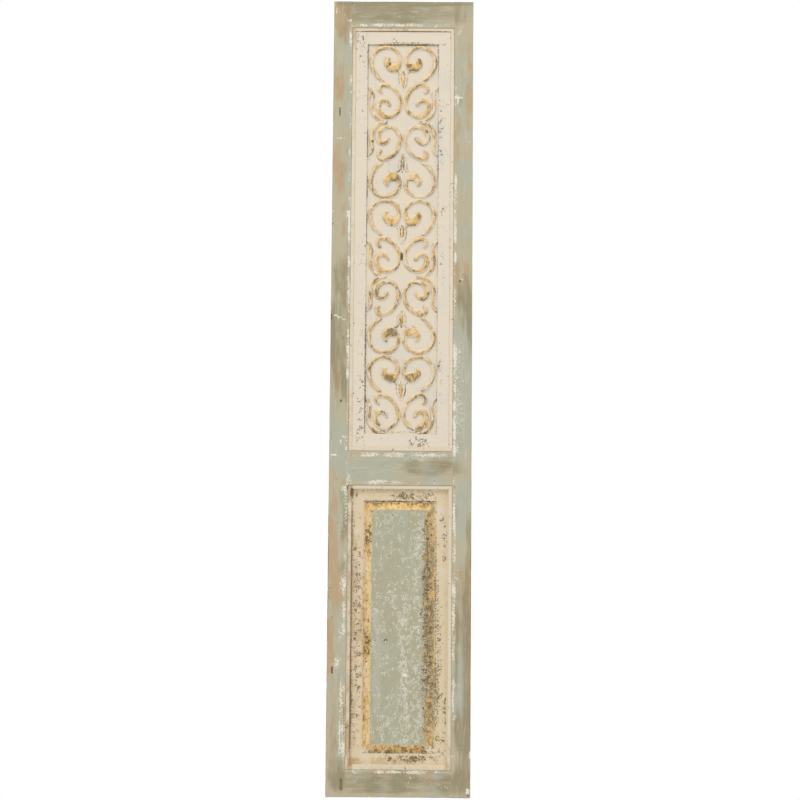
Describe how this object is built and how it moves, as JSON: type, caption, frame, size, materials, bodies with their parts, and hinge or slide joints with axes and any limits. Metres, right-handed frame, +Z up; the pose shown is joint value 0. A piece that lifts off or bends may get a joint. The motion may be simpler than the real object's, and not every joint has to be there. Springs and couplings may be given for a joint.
{
  "type": "decorative wood panel",
  "caption": "Tall narrow wall panel: a painted frame holds a carved scroll panel above a lower raised panel, with mouldings round both.",
  "frame": {"origin": "middle of the top rail's back face, where the panel hangs against a wall", "axes": "+Z up along the panel, +X to the right, -Y out of the carved front, +Y into the wall"},
  "size_m": [0.32, 0.025, 1.8],
  "materials": {
    "sage_paint": "worn grey-green paint over brown wood",
    "cream_paint": "aged cream paint with dark wax in the corners",
    "cream_and_gilt": "cream paint with worn gold leaf on the carving",
    "aged_cream_and_gilt": "cream and grey-green paint with a worn gilded bevel"
  },
  "bodies": {
    "root": {"left_stile": "sage_paint", "right_stile": "sage_paint", "top_rail": "sage_paint", "lock_rail": "sage_paint", "bottom_rail": "sage_paint", "carved_panel": "cream_and_gilt", "raised_panel": "aged_cream_and_gilt", "upper_moulding_left": "cream_paint", "upper_moulding_right": "cream_paint", "upper_moulding_top": "cream_paint", "upper_moulding_bottom": "cream_paint", "lower_moulding_left": "cream_paint", "lower_moulding_right": "cream_paint", "lower_moulding_top": "cream_paint", "lower_moulding_bottom": "cream_paint"}
  },
  "joints": []
}
